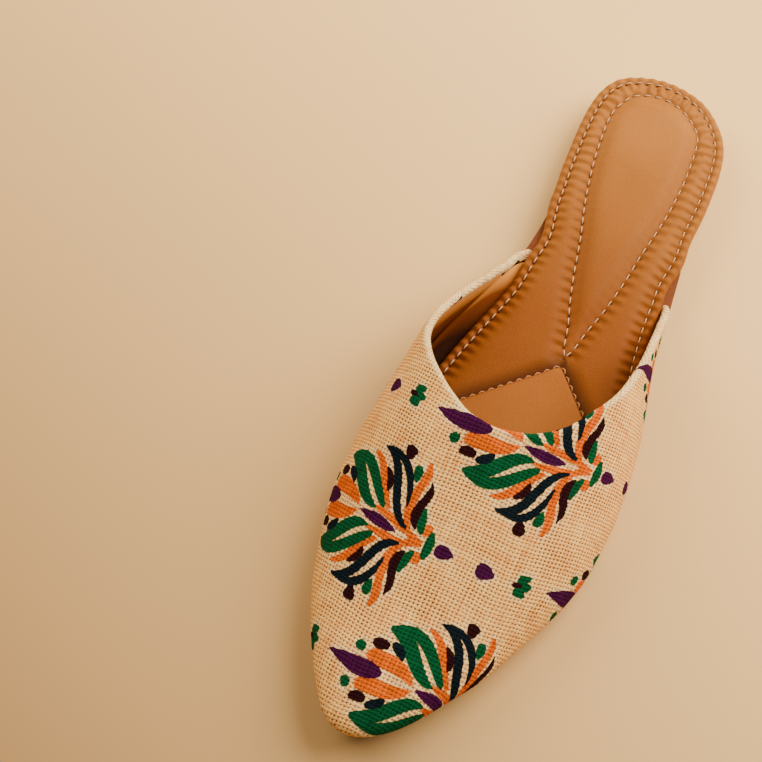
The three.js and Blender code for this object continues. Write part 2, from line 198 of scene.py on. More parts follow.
# %% Floor finish
material, place, shader = finish("warm floor")
cloudy = place.noise(3.0)
x, y = parts(place)
# The floor is painted paler towards the heel and the outer side, where the window lamp stands, and darker
# away from it: a painted light falloff, broken up by a faint random cloud.
floor_painted_light = (y + x * 0.45 + cloudy * 0.06).ramp(-0.24, 0.16).mix(paint(152, 116, 70), paint(255, 214, 144))
surface(shader, floor_painted_light, cloudy.ramp(0.3, 0.7, 0.8, 0.9))
floor.data.materials.append(material)

# %% [markdown]
# ## The form
#
# A shoe is built on a last, and a last is drawn as an outline, an underside and a row of sections. The
# tables below hold them as shares of the named sizes, and a smooth curve runs through each column. The
# finer pieces follow these curves, so they lie where the plain ones lie.

# %% Sizes in millimetres, and the tables
SOLE_LENGTH, BALL_WIDTH, HEEL_WIDTH, INSTEP_HEIGHT = 267, 82.6, 51.1, 46.5
HEEL_HEIGHT, TOE_SPRING, SOLE, WALL, FLANK, BULGE, LEDGE = 6, 6, 4, 2, 6.6, 5, 0.5
CLEARANCE, FITTING, OVERHANG, BEHIND, INWARD = 0.3, 0.5, 1, 0.8, 0.35
MEDIAL, LATERAL = -1, 1

OUTLINE = ((0, -0.098, 0), (0.039, -0.081, 0.339), (0.078, -0.072, 0.501), (0.117, -0.058, 0.639),
           (0.157, -0.05, 0.748), (0.197, -0.036, 0.843), (0.246, -0.018, 0.942), (0.295, -0.002, 0.995),
           (0.344, 0.013, 1), (0.393, 0.029, 0.981), (0.452, 0.044, 0.932), (0.512, 0.054, 0.9),
           (0.571, 0.07, 0.891), (0.63, 0.092, 0.916), (0.68, 0.102, 0.99), (0.725, 0.109, 0.997),
           (0.774, 0.104, 0.961), (0.83, 0.104, 0.995), (0.879, 0.102, 1), (0.913, 0.097, 0.977),
           (0.942, 0.086, 0.905), (0.962, 0.073, 0.8), (0.982, 0.062, 0.618), (1, 0.058, 0))
UNDERSIDE = ((0, 1, 0), (0.08, 0.5, 0), (0.16, 0.14, 0), (0.25, 0, 0), (0.4, 0, 0), (0.5, 0, 0.16),
             (0.6, 0, 0.55), (0.7, 0, 0.93), (0.75, 0, 1), (1, 0, 1))
FORM = ((0, 0.68, 0.5, 0.5, 0, 2, 0), (0.03, 0.72, 0.46, 0.56, 0.17, 2, -0.01),
        (0.06, 0.77, 0.44, 0.56, 0.25, 2, -0.03), (0.12, 0.85, 0.5, 0.56, 0.375, 2, -0.06),
        (0.2, 0.92, 0.54, 0.57, 0.57, 2, -0.09), (0.27, 0.96, 0.56, 0.52, 0.76, 2, -0.12),
        (0.36, 1, 0.68, 0.44, 1, 2.05, -0.15), (0.45, 1, 0.88, 0.36, 1.2, 2.15, -0.15),
        (0.5, 0.98, 0.94, 0.3, 1.31, 2.2, -0.14), (0.55, 0.95, 0.84, 0.2, 1.4, 2.3, -0.12),
        (0.62, 0.85, 0.6, 0.16, 1.52, 2.4, -0.1), (0.7, 0.7, 0.3, 0.16, 1.6, 2.4, -0.1),
        (1, 0.7, 0.3, 0.16, 1.6, 2.4, -0.1))
TOPLINE = ((0, 0.688), (0.03, 0.677), (0.06, 0.664), (0.088, 0.644), (0.114, 0.61), (0.136, 0.578),
           (0.164, 0.543), (0.2, 0.506), (0.242, 0.473), (0.317, 0.43), (0.385, 0.4), (0.435, 0.38),
           (0.49, 0.364), (0.54, 0.36), (0.6, 0.368), (0.663, 0.396), (0.717, 0.441), (0.756, 0.477),
           (0.796, 0.522), (0.856, 0.585), (0.888, 0.617), (0.92, 0.643), (0.96, 0.663), (1, 0.675))
TEARDROP = ((0.556, 0.108, 0), (0.595, 0.112, 0.12), (0.635, 0.113, 0.24), (0.68, 0.113, 0.345),
            (0.725, 0.11, 0.425), (0.77, 0.105, 0.525), (0.815, 0.101, 0.6), (0.865, 0.095, 0.645),
            (0.905, 0.089, 0.65), (0.93, 0.086, 0.62), (0.947, 0.077, 0.52), (0.962, 0.065, 0.38),
            (0.973, 0.062, 0))
FLANK_TURN = 0.08

# %% Curves through the tables


def curve(rows, column, squared=False):
    """A smooth curve through a table's column that never overshoots its rows."""
    x = np.array([row[0] for row in rows], float)
    y = np.array([row[column] for row in rows], float) ** (2 if squared else 1)
    h, d = np.diff(x), np.diff(y) / np.diff(x)
    m = np.array([d[0], *([0.0] * (len(x) - 2)), d[-1]])
    for i in range(1, len(x) - 1):
        if d[i - 1] * d[i] > 0:
            weight = (2 * h[i] + h[i - 1]) / d[i - 1] + (h[i] + 2 * h[i - 1]) / d[i]
            m[i] = 3 * (h[i - 1] + h[i]) / weight

    def at(place):
        place = np.clip(place, x[0], x[-1])
        i = np.clip(np.searchsorted(x, place) - 1, 0, len(h) - 1)
        t = (place - x[i]) / h[i]
        value = y[i] * (1 + 2 * t) * (1 - t) ** 2 + h[i] * m[i] * t * (1 - t) ** 2
        value = value + y[i + 1] * t * t * (3 - 2 * t) - h[i] * m[i + 1] * t * t * (1 - t)
        return np.sqrt(np.maximum(value, 0)) if squared else value

    return at


centre_share, half_share = curve(OUTLINE, 1), curve(OUTLINE, 2, True)
spring_share, lift_share = curve(UNDERSIDE, 1), curve(UNDERSIDE, 2)
flank_share, medial_share, lateral_share = curve(FORM, 1), curve(FORM, 2), curve(FORM, 3)
crown_share, fullness, ridge_share = curve(FORM, 4, True), curve(FORM, 5), curve(FORM, 6)
topline_at = curve(TOPLINE, 1)
teardrop_centre, teardrop_half = curve(TEARDROP, 1), curve(TEARDROP, 2, True)

# %% Places on the sole


def smooth(x, low, high):
    """0 below low, 1 above high, and a soft step between."""
    t = np.clip((x - low) / (high - low), 0, 1)
    return t * t * (3 - 2 * t)


def unit(v):
    """Vectors cut to a length of 1."""
    return v / np.maximum(np.linalg.norm(v, axis=-1, keepdims=True), 1e-9)


def run_along(line):
    """How far each point of a line lies from its start, along the line."""
    return np.concatenate([[0], np.cumsum(np.linalg.norm(np.diff(line, axis=0), axis=1))])


def station_at(station):
    """The share of the sole's length at a station. Stations bunch towards both ends, where the outline
    turns fastest."""
    return (1 - np.cos(np.pi * station)) / 2


def station_of(at):
    """The station at a share of the sole's length."""
    return np.arccos(1 - 2 * np.asarray(at)) / np.pi


def outline_point(at, side):
    """A plan point of the outsole's outline."""
    width = BALL_WIDTH + (HEEL_WIDTH - BALL_WIDTH) * smooth(at, 0.45, 0.75)
    x = centre_share(at) * BALL_WIDTH - INWARD + side * half_share(at) * width / 2
    return np.stack([x, BEHIND + (at - 0.5) * SOLE_LENGTH], -1)


def outward(station, side):
    """The outline's outward direction in plan, straight out along the shoe at both ends."""
    step = 1e-3
    before = outline_point(station_at(np.clip(station - step, 0, 1)), side)
    after = outline_point(station_at(np.clip(station + step, 0, 1)), side)
    tangent = unit(after - before)
    normal = np.stack([tangent[..., 1] * side, -tangent[..., 0] * side], -1)
    normal = np.where((station < step)[..., None], [0.0, -1.0], normal)
    return np.where((station > 1 - step)[..., None], [0.0, 1.0], normal)


def edge_point(station, side, out):
    """A point beside the outsole's outline: out is how far outside it."""
    station, out = np.broadcast_arrays(np.asarray(station, float), np.asarray(out, float))
    return outline_point(station_at(station), side) + outward(station, side) * out[..., None]


def sole_top(at):
    """Height of the outsole's top over the floor."""
    return TOE_SPRING * spring_share(at) + HEEL_HEIGHT * lift_share(at) + SOLE


def length_share(y):
    """The share of the sole's length, from the toe's tip, at a place along the shoe."""
    return np.clip((y - BEHIND) / SOLE_LENGTH + 0.5, 0, 1)


# %% A grid that takes a form


def formed_grid(name, points, **values):
    """A grid primitive whose vertices are moved to rows of points in millimetres. Each named value is an
    array of three numbers a point, kept as an attribute of the mesh."""
    rows, columns = points.shape[:2]
    bpy.ops.object.select_all(action="DESELECT")
    bpy.ops.mesh.primitive_grid_add(x_subdivisions=columns - 1, y_subdivisions=rows - 1, size=1)
    piece = bpy.context.object
    piece.name = piece.data.name = name
    piece.data.vertices.foreach_set("co", (points * MM).astype(np.float32).ravel())
    for label, array in values.items():
        kept = piece.data.attributes.new(label, "FLOAT_VECTOR", "POINT")
        kept.data.foreach_set("vector", array.astype(np.float32).ravel())
    piece.data.update()
    return piece


def tidy_shell(piece, merge=1e-5, corner=40):
    """Merges the points that meet, turns the faces outwards and shades all but the corners smooth."""
    bpy.ops.object.select_all(action="DESELECT")
    bpy.context.view_layer.objects.active = piece
    piece.select_set(True)
    bpy.ops.object.mode_set(mode="EDIT")
    bpy.ops.mesh.select_all(action="SELECT")
    bpy.ops.mesh.remove_doubles(threshold=merge)
    bpy.ops.mesh.dissolve_degenerate(threshold=merge / 10)
    bpy.ops.mesh.select_all(action="SELECT")
    bpy.ops.mesh.normals_make_consistent(inside=False)
    bpy.ops.mesh.select_mode(type="EDGE")
    bpy.ops.mesh.select_all(action="DESELECT")
    bpy.ops.mesh.select_non_manifold()
    bpy.ops.object.mode_set(mode="OBJECT")
    open_edges = sum(edge.select for edge in piece.data.edges)
    bpy.ops.object.shade_smooth_by_angle(angle=radians(corner))
    print(piece.name, len(piece.data.polygons), "faces,", open_edges, "edges without exactly two faces")


# %% [markdown]
# ## Upper
#
# The vamp is one piece of printed cloth, pulled over the last and backed with a thin tan lining. At the
# topline the cloth turns over the edge in a soft roll and is sewn down inside. It could be modelled as a
# sheet with thickness, but the roll needs its own section, so each ring of points runs over the outside,
# under the foot and back along the inside, and the last rings close it round the roll.


# %% The upper's outer face
def upper_point(station, turn):
    """A point of the outer face. Turn runs from 0 at the inner foot over the crown to 1 at the outer."""
    station, turn = np.broadcast_arrays(np.asarray(station, float), np.asarray(turn, float))
    at = station_at(station)
    foot, flank = sole_top(at) + CLEARANCE, FLANK * flank_share(at)
    inner = edge_point(station, MEDIAL, BULGE * medial_share(at))
    outer = edge_point(station, LATERAL, BULGE * lateral_share(at))
    inner_foot, outer_foot = edge_point(station, MEDIAL, -LEDGE), edge_point(station, LATERAL, -LEDGE)
    lower = np.minimum(turn, 1 - turn) / FLANK_TURN
    ease = (1 - (1 - lower) ** 2)[..., None]
    inner_flank = inner_foot + (inner - inner_foot) * ease
    outer_flank = outer_foot + (outer - outer_foot) * ease
    flank_xy = np.where((turn < 0.5)[..., None], inner_flank, outer_flank)
    angle = np.pi * (turn - FLANK_TURN) / (1 - 2 * FLANK_TURN)
    rise, full = np.maximum(np.sin(angle), 0), fullness(at)
    reach = (np.abs(np.cos(angle)) ** full + rise**full) ** (-1 / full)
    up = rise * reach
    across = -np.cos(angle) * reach + ridge_share(at) * up * up
    crown_xy = inner + (outer - inner) * ((1 + across) / 2)[..., None]
    crown_z = foot + flank + (INSTEP_HEIGHT - SOLE - FLANK) * crown_share(at) * up
    low = lower < 1
    xy = np.where(low[..., None], flank_xy, crown_xy)
    return np.concatenate([xy, np.where(low, foot + flank * lower, crown_z)[..., None]], -1)


def upper_normal(station, turn):
    """Outward on the crown, and level on the flanks, so that the wall stands flat on the sole."""
    step = 1e-3
    along = upper_point(station + step, turn) - upper_point(np.maximum(station - step, 0), turn)
    around = upper_point(station, turn + step) - upper_point(station, turn - step)
    normal = unit(np.cross(around, along))
    level = np.where((turn < 0.5)[..., None], outward(station, MEDIAL), outward(station, LATERAL))
    level = np.concatenate([level, 0 * level[..., :1]], -1)
    on_flank = (np.minimum(turn, 1 - turn) <= FLANK_TURN + 1e-6)[..., None]
    normal = np.where(on_flank, level, normal)
    return np.where((station < step)[..., None], [0.0, -1.0, 0.0], normal)


# %% Lines over the upper
fine_turns = np.linspace(FLANK_TURN, 1 - FLANK_TURN, 800)
fine_top = upper_point(station_of(topline_at(fine_turns)), fine_turns)
reach = run_along(fine_top)
between = np.interp(np.linspace(0, reach[-1], 151)[1:-1], reach, fine_turns)
flank_turns = np.linspace(0, FLANK_TURN, 7)
turns = np.concatenate([flank_turns, between, 1 - flank_turns[::-1]])
top_station = station_of(topline_at(turns))
top_point = upper_point(top_station, turns)
print("topline", round(reach[-1]), "mm long,", len(turns), "lines")

# %% How the lines meet the topline
across_top = unit(np.gradient(top_point, axis=0))
pace = (upper_point(top_station, turns) - upper_point(top_station - 1e-3, turns)) / 1e-3
steepness = np.linalg.norm(np.cross(across_top, unit(pace)), axis=1)
per_mm = 1 / (np.linalg.norm(pace, axis=1) * np.maximum(steepness, 0.3))
edge_depths = np.array([9, 7.5, 6, 4.8, 3.9, 3.2, 2.8, 2.5, 2.2, 1.9, 1.6, 1.1, 0.5, 0])
main_shares = np.linspace(0, 1, 105)[:-1]
stations = np.concatenate([
    main_shares[:, None] * (top_station - edge_depths[0] * per_mm),
    top_station - edge_depths[:, None] * per_mm,
])
to_edge = (top_station - stations) / per_mm

# %% Outer and inner faces
ROLL = 1.35  # radius of the rolled topline
ROLL_DEPTHS = [2 * ROLL, 2.65, 2.3, 1.65, 2.0, WALL]  # wall at the roll, in the dip below it, and past it
inner_depth = np.interp(to_edge, [0, 1.2, 1.8, 2.2, 2.8, 4], ROLL_DEPTHS)
outer_face = upper_point(stations, turns)
normals = upper_normal(stations, np.broadcast_to(turns, stations.shape))
inner_face = outer_face - normals * inner_depth[..., None]

# %% Cloth coordinates: across from the crown, and back from the toe, both along the surface
table_stations = np.linspace(0, station_of(0.7), 260)
table = upper_point(table_stations[:, None], turns)
arcs = np.concatenate([np.zeros((260, 1)), np.cumsum(np.linalg.norm(np.diff(table, axis=1), axis=2), 1)], 1)
crown = upper_point(table_stations, 0.5)
crown_line = run_along(crown)
middle = np.argmin(abs(turns - 0.5))
arcs -= arcs[:, middle : middle + 1]
across = np.stack([np.interp(stations[:, j], table_stations, arcs[:, j]) for j in range(len(turns))], 1)
along = np.interp(stations, table_stations, crown_line)
cloth = np.stack([across, along, -to_edge], -1)

# %% The roll at the topline
through = normals[-1]
past = unit(np.cross(across_top, through))
past *= np.sign((past * pace).sum(1, keepdims=True))
arc = np.linspace(0, pi / 2, 8)[1:]
outer_roll = [top_point + through * ROLL * (cos(a) - 1) + past * ROLL * sin(a) for a in arc]
inner_roll = [top_point - through * ROLL * (cos(a) + 1) + past * ROLL * sin(a) for a in arc]
e_across = unit(upper_point(top_station, turns + 1e-3) - upper_point(top_station, turns - 1e-3))
turn_dir = np.stack([(past * e_across).sum(1), (past * unit(pace)).sum(1), np.ones(len(turns))], 1)
outer_cloth = [cloth[-1] + turn_dir * ROLL * a for a in arc]
inner_cloth = [cloth[-1] + turn_dir * ROLL * (pi - a) for a in arc]
inside_cloth = cloth[-1] + turn_dir * (ROLL * pi + to_edge)[..., None]

# %% One closed shell
outer_rows = np.concatenate([outer_face, np.stack(outer_roll)])
inner_rows = np.concatenate([inner_face, np.stack(inner_roll)])
shell = np.concatenate([outer_rows, inner_rows[:, ::-1], outer_rows[:, :1]], 1)
outer_uv = np.concatenate([cloth, np.stack(outer_cloth)])
inner_uv = np.concatenate([inside_cloth, np.stack(inner_cloth)])
shell_cloth = np.concatenate([outer_uv, inner_uv[:, ::-1], outer_uv[:, :1]], 1)
upper = formed_grid("upper_cloth", shell, cloth=shell_cloth)
tidy_shell(upper, corner=50)
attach(upper, "root")
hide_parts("upper")

# %% [markdown]
# ## The print
#
# Sprays of petals and leaves lie along the cloth, each mirrored about its own axis, with a trail of dots
# from one to the next, and every other row is shifted by about half. It is a common folk floral repeat.
# A picture of it would blur at close range, so it is charted, each petal as one brush stroke: its
# ink, its width, how pointed its two ends are, and points along its middle, all in millimetres from the
# spray's root.

# %% Chart of one spray, half of it
INKS = {
    "pale": paint(254, 230, 176), "maroon": paint(38, 12, 16), "orange": paint(211, 92, 0),
    "green": paint(8, 74, 42), "navy": paint(12, 24, 32), "purple": paint(60, 12, 56),
}
SPRAY = (
    ("orange", 5.6, 0.6, 0.35, (28.2, 0.9), (37, 4.2), (45.4, 5.2)),
    ("purple", 6.0, 0.5, 1.0, (38.5, 0), (48, 0), (58.5, 0)),
    ("green", 3.6, 0.4, 0.4, (46.4, 5.9), (48.2, 6.1), (50.0, 6.1)),
    ("maroon", 3.8, 0.45, 0.4, (39.6, 9.0), (42.4, 8.8), (45.4, 9.0)),
    ("navy", 3.4, 0.5, 0.4, (34.2, 6.4), (36.4, 8.8), (39.2, 10.8)),
    ("green", 5.2, 0.5, 0.35,
     (22.0, 2.9), (26.8, 4.5), (30.8, 7.7), (34.4, 11.4), (38.0, 14.2), (42.0, 14.9)),
    ("green", 4.3, 0.35, 0.4,
     (19.4, 4.5), (23.3, 7.9), (27.2, 12.0), (32.3, 15.5), (36.9, 16.0), (42.0, 15.0)),
    ("orange", 3.2, 0.3, 0.35,
     (17.4, 4.9), (21.5, 9.2), (24.0, 13.8), (27.1, 16.9), (31.0, 19.0)),
    ("maroon", 2.8, 0.45, 0.45, (20.5, 9.4), (21.0, 12.8), (23.9, 16.4)),
    ("navy", 3.6, 0.35, 0.35,
     (9.8, 2.5), (13.8, 4.9), (16.5, 8.6), (18.4, 13.5), (20.6, 17.9), (23.6, 20.6), (28, 22)),
    ("navy", 3.1, 0.4, 0.4,
     (12.3, 8.3), (13.4, 12.4), (15.0, 16.8), (17.6, 20.0), (21.9, 21.8), (28, 22)),
    ("maroon", 4.6, 1.1, 0.35, (18.8, 20.4), (18.4, 23.4), (18.0, 26.4)),
    ("green", 3.5, 0.6, 0.35, (13.0, 16.6), (13.3, 19.2), (13.6, 22.0)),
    ("orange", 3.4, 0.3, 0.3,
     (8.4, 2.2), (11.4, 7.4), (11.6, 12.1), (10.8, 16.4), (10.0, 20.7), (10.8, 24.6)),
    ("maroon", 3.5, 0.4, 0.6, (7.0, 3.6), (8.9, 7.4), (8.1, 11.6), (7.3, 15.5), (7.9, 19.2)),
    ("green", 3.2, 0.4, 0.4, (4.6, 2.6), (6.1, 6.5), (6.6, 10.8)),
    ("orange", 3.6, 0.4, 0.4, (3.9, 2.6), (3.3, 4.5), (2.8, 6.6)),
    ("green", 3.4, 0.4, 0.4, (1.4, -4.6), (1.0, 0), (1.4, 4.6)),
    ("purple", 4.0, 0.7, 0.8, (12.6, 0), (19, 0), (27.4, 0)),
    ("orange", 2.8, 0.35, 0.5, (9.0, 1.6), (16, 3.0), (23.5, 3.4)),
    ("orange", 2.8, 0.4, 0.3, (3.2, 0.6), (6.4, 0.7), (9.6, 2.6)),
    ("purple", 4.9, 0.4, 0.8, (-1.2, 0), (-4, 0), (-7.6, 0)),
    ("purple", 5.4, 0.4, 0.8, (-15.2, 0), (-18, 0), (-21.8, 0)),
    ("green", 3.5, 0.45, 0.45, (-28.6, 0), (-31, 0), (-34.4, 0)),
    ("green", 3.0, 0.45, 0.45, (-29.0, 0.8), (-31, 2.4), (-33.0, 3.4)),
    ("maroon", 1.9, 0.5, 0.8, (-27.4, 0), (-29, 0), (-31.6, 0)),
)
REPEAT, ROW, TRAIL = 97.6, 83.0, 39.9  # from spray to spray, from row to row, and how far the dots trail
ROOTS = ((45.3, 104.5), (4.4, 63.5))  # a spray's root in each of the two rows: across, and from the toe
BODY_MIDDLE, BODY_HALF = 25, 21  # a spray's body, from its root
BODY_LEAD = 14  # how much nearer a body counts than it is, so that the other row's dots don't cut it off


def stroke(spot, width, start_point, end_point, *middle_points):
    """How far inside a petal a spot lies, in millimetres. The chord from its start to its end is its axis,
    and its middle swings off the chord as one bow and one S, fitted to its charted points."""
    start, end = np.array(middle_points[0], float), np.array(middle_points[-1], float)
    length = float(np.linalg.norm(end - start))
    ahead = (end - start) / length
    off = np.array(middle_points) - start
    t, b = off @ ahead / length, off @ np.array([-ahead[1], ahead[0]])
    bow, swing = np.linalg.lstsq(np.stack([t * (1 - t), t * (1 - t) * (1 - 2 * t)], 1), b, rcond=None)[0]
    place = {"Location": (*start, 0), "Rotation": (0, 0, float(np.arctan2(ahead[1], ahead[0])))}
    place["Scale"] = (length, 1, 1)
    local = spot.node("Mapping", {"vector_type": "TEXTURE"}, {"Vector": spot, **place})
    t, beside = parts(local)
    rest = 1 - t
    both = t * rest
    middle = both * (t * float(-2 * swing) + float(bow + swing))
    total = start_point + end_point
    peak = (start_point / total) ** start_point * (end_point / total) ** end_point
    swell = (t**start_point) * (rest**end_point) * (width / 2 / peak)
    past = (abs(t - 0.5) - 0.5).math("MAXIMUM", 0.0) * length
    return swell - abs(beside - middle) - past


# %% Cloth coordinates
# The rows of print bend back towards the heel on both sides of a straight middle stretch, as on cloth
# that is pulled over a last, and more so near the inner foot line. They also lie slightly askew.
WARP, WEFT = 1.36, 1.24  # from thread to thread, across and along
PRINT_MIDDLE, STRAIGHT, FOOT_LINE = 10.5, 14, 66  # the middle, then distances to both sides of it
BEND, BEND_EASE, FOOT_BEND, SKEW = 0.37, 8, 0.9, 0.047
STEPPED = 0.2  # how much of a thread the print's edges jump at a time
material, place, shader = finish("printed cloth")
threads = place.node("Attribute", {"attribute_name": "cloth"}, {}, out="Vector")
raw_across, raw_along, fold = parts(threads, 3)
off_middle = abs(raw_across - PRINT_MIDDLE)
aside, far = ((off_middle - start).math("MAXIMUM", 0) for start in (STRAIGHT, FOOT_LINE))
along = raw_along - aside * aside / (aside + BEND_EASE) * BEND - far * FOOT_BEND
across = raw_across + (ROOTS[0][1] - raw_along) * SKEW
stepped_across = across - (across / WARP % 1 - 0.5) * WARP * STEPPED
stepped_along = along - (along / WEFT % 1 - 0.5) * WEFT * STEPPED

# %% The repeat
spots = []
for root_across, root_along in ROOTS:
    ahead = (root_across + TRAIL - stepped_across) % REPEAT - TRAIL
    beside = abs((stepped_along - (root_along - ROW / 2)) % ROW - ROW / 2)
    spots.append((ahead, beside, beside - (abs(ahead - BODY_MIDDLE) < BODY_HALF) * BODY_LEAD))
first = spots[0][2] < spots[1][2]
ahead, beside = (b + first * (a - b) for a, b in zip(spots[0][:2], spots[1][:2]))
ragged = threads.noise(0.8, 1.0)
spot = ahead.node("CombineXYZ", {}, {0: ahead + (ragged - 0.5) * 0.7, 1: beside + (ragged - 0.5) * 0.5})
inks = {}
for ink, width, start_point, end_point, *middle_points in SPRAY:
    here = stroke(spot, width, start_point, end_point, *middle_points)
    inks[ink] = inks[ink].math("MAXIMUM", here) if ink in inks else here
print(len(SPRAY), "strokes,", len(material.node_tree.nodes), "nodes")

# %% [markdown]
# ## The weave
#
# The cloth is a coarse plain weave: two sets of threads pass over and under each other, so the thread on
# top changes like the squares of a chessboard, and a small hole is left at each corner. Each set is a
# row of round ridges that rise and sink with the other set, and the higher one shows.

# %% Weave
slack = threads.noise(0.22)
looser = threads.noise(0.07)
warp, weft = across / WARP + slack * 0.5, along / WEFT + slack * 0.5
off_warp, off_weft = abs(warp % 1 - 0.5) * 2, abs(weft % 1 - 0.5) * 2
wave = (warp * pi).math("SINE") * (weft * pi).math("SINE") * 0.4
warp_top, weft_top = 1 - off_warp * off_warp + wave, 1 - off_weft * off_weft - wave
height = warp_top.math("MAXIMUM", weft_top)
hole = (height - looser.ramp(0.3, 0.7, -0.06, 0.24)).ramp(0.66, 0.32)
long_warp = threads.node("Mapping", {"vector_type": "POINT"}, {"Vector": threads, "Scale": (0.7, 0.06, 0.05)})
long_weft = threads.node("Mapping", {"vector_type": "POINT"}, {"Vector": threads, "Scale": (0.06, 0.7, 0.05)})
slub = long_warp.noise(1.0)
slub = slub + long_weft.noise(1.0) - 1
fibre = threads.noise(5.0) - 0.5

# %% Bare cloth
# The threads' tops are painted paler and the low places between them darker, painted shade in the weave,
# while slubs and fibres add the threads' own uneven tone. The holes are painted dark brown: painted shade in
# the gaps between the threads.
shade = (height * 0.55 + slub * 1.2 + fibre * 0.85 + 0.14).ramp(0, 1)
bare = shade.mix(paint(216, 134, 68), paint(255, 204, 122))
bare = (hole * 0.95).mix(bare, paint(92, 44, 20))
# Over the rolled topline the cloth is painted paler: a painted highlight along the roll.
roll_painted_highlight = (shade - hole * 0.4).ramp(0, 1).mix(paint(214, 164, 104), paint(255, 236, 180))
bare = ((fold + 0.6).ramp(0, 1) * 0.7).mix(bare, roll_painted_highlight)

# %% Inked cloth, with a pale rim round the ink
near_ink = None
for here in inks.values():
    near_ink = near_ink.math("MAXIMUM", here) if near_ink else here
clean = near_ink.ramp(-1.7, -0.4) * 0.55
# The pale rim and every ink are painted darker in the weave's low places and holes and paler on the threads'
# tops: the same painted shade as on the bare cloth.
colour = clean.mix(bare, (shade - hole * 0.5).ramp(0, 1).mix(paint(168, 140, 100), INKS["pale"]))
for ink, here in inks.items():
    deep, bright = (tuple(c * share for c in INKS[ink]) for share in (0.5, 1.2))
    colour = here.ramp(0.0, 0.22).mix(colour, (shade - hole * 0.35).ramp(0, 1).mix(deep, bright))

# %% Lining, and the whole cloth finish
TURNED_IN = 6.5  # where the cloth ends on the inside, from the topline
grain = place.noise(900.0, 3.0)
# The lining is painted near black deep inside the shoe, brown further up and golden near the topline: painted
# shade inside the shoe and painted light along the rim, over a fine grain.
lining_painted_light_and_shade = grain.ramp(0.3, 0.7).mix(paint(36, 14, 4), paint(46, 19, 6))
lining_painted_light_and_shade = fold.ramp(12, 26).mix(paint(124, 62, 20), lining_painted_light_and_shade)
lining_painted_light_and_shade = fold.ramp(8, 14).mix(paint(236, 158, 72), lining_painted_light_and_shade)
seam = (0.4 - abs(fold - TURNED_IN)).ramp(0, 0.12)
inside = fold > TURNED_IN
colour = inside.mix(colour, lining_painted_light_and_shade)
colour = seam.mix(colour, paint(52, 26, 10))
outside = 1 - inside
relief = (height + fibre * 0.3) * outside + grain * 0.1
surface(shader, colour, outside.ramp(0, 1, 0.6, 0.95), relief, 0.00027)
shader.inputs["Specular IOR Level"].default_value = 0.05
upper.data.materials.append(material)

# %% [markdown]
# ## Insole
#
# The footbed is foam under a thin tan sheet. A row of stitches runs all round it, a teardrop seam
# outlines the heel pad, and a bent seam crosses in front of it. Each seam pulls the foam down, and the
# sheet gathers beside the stitches of the first two. It could be sculpted by hand, but the gathers follow
# the seams, so the height is worked out from each point's distance to every seam and its place along it.

# %% Insole edge
WING_PAST, OVERHANG_FULL = 0.008, 0.085  # past a wing's end, where the edge starts and ends its way out
wing_ends = {MEDIAL: TOPLINE[0][1], LATERAL: TOPLINE[-1][1]}


def insole_out(station, side):
    """How far outside the outsole's outline the insole's edge lies."""
    passed = smooth(station_at(station), wing_ends[side] + WING_PAST, wing_ends[side] + OVERHANG_FULL)
    inside = -LEDGE - WALL - FITTING
    return inside + (OVERHANG - inside) * passed


def inset(station, side, depth):
    """A plan point this far inside the insole's edge."""
    return edge_point(station, side, insole_out(station, side) - depth)


def eased(line, passes, share=1.0):
    """Rows of points, evened out with their neighbours, with both ends kept."""
    line = line.copy()
    for _ in range(passes):
        line[1:-1] += share * ((line[:-2] + line[2:]) / 2 - line[1:-1]) / 2
    return line


# %% Seams
BORDER_STITCH, CHEVRON_AT, CHEVRON_CENTRE, CHEVRON_TURN = 3.2, 0.542, 0.11, radians(-7)


def even_line(points, pitch):
    """A polyline cut again into even steps of about a pitch."""
    reach = run_along(points)
    count = max(round(reach[-1] / pitch), 1)
    wanted = np.linspace(0, reach[-1], count + 1)
    return np.stack([np.interp(wanted, reach, points[:, k]) for k in range(points.shape[1])], 1)


SEAM_STEP = 0.45
drop_start, drop_end = TEARDROP[0][0], TEARDROP[-1][0]
seam_at = drop_start + (drop_end - drop_start) * station_at(np.linspace(0, 1, 200))
drop_centre = teardrop_centre(seam_at) * BALL_WIDTH - INWARD
drop_half = teardrop_half(seam_at) * HEEL_WIDTH / 2
drop_y = BEHIND + (seam_at - 0.5) * SOLE_LENGTH
drop_left = np.stack([drop_centre - drop_half, drop_y], 1)
drop_right = np.stack([drop_centre + drop_half, drop_y], 1)
teardrop_seam = np.concatenate([drop_left, drop_right[::-1]])
corner = np.array([CHEVRON_CENTRE * BALL_WIDTH - INWARD, BEHIND + (CHEVRON_AT - 0.5) * SOLE_LENGTH])
forward = np.linspace(0, 1, 80)[:, None] * 0.25 * SOLE_LENGTH
arms = [corner + forward * np.array([np.tan(CHEVRON_TURN) + side, -1]) for side in (MEDIAL, LATERAL)]
round_stations = np.linspace(0.001, 1, 500)
border_seam = np.concatenate([
    inset(round_stations, MEDIAL, BORDER_STITCH), inset(round_stations, LATERAL, BORDER_STITCH)[::-1],
])
border_seam = eased(even_line(border_seam, SEAM_STEP), 40)
seams = {
    "border": even_line(border_seam, SEAM_STEP),
    "teardrop": even_line(teardrop_seam, SEAM_STEP),
    "chevron": np.concatenate([even_line(arms[0][::-1], SEAM_STEP), even_line(arms[1], SEAM_STEP)[1:]]),
}
PITCH = {"border": 3.7, "teardrop": 4.0, "chevron": 4.0}
print({name: round(run_along(line)[-1]) for name, line in seams.items()}, "mm of seam")


def from_hole(name, along):
    """How far a place along a seam lies from its nearest needle hole."""
    return abs((along / PITCH[name] + 0.5) % 1 - 0.5) * PITCH[name]


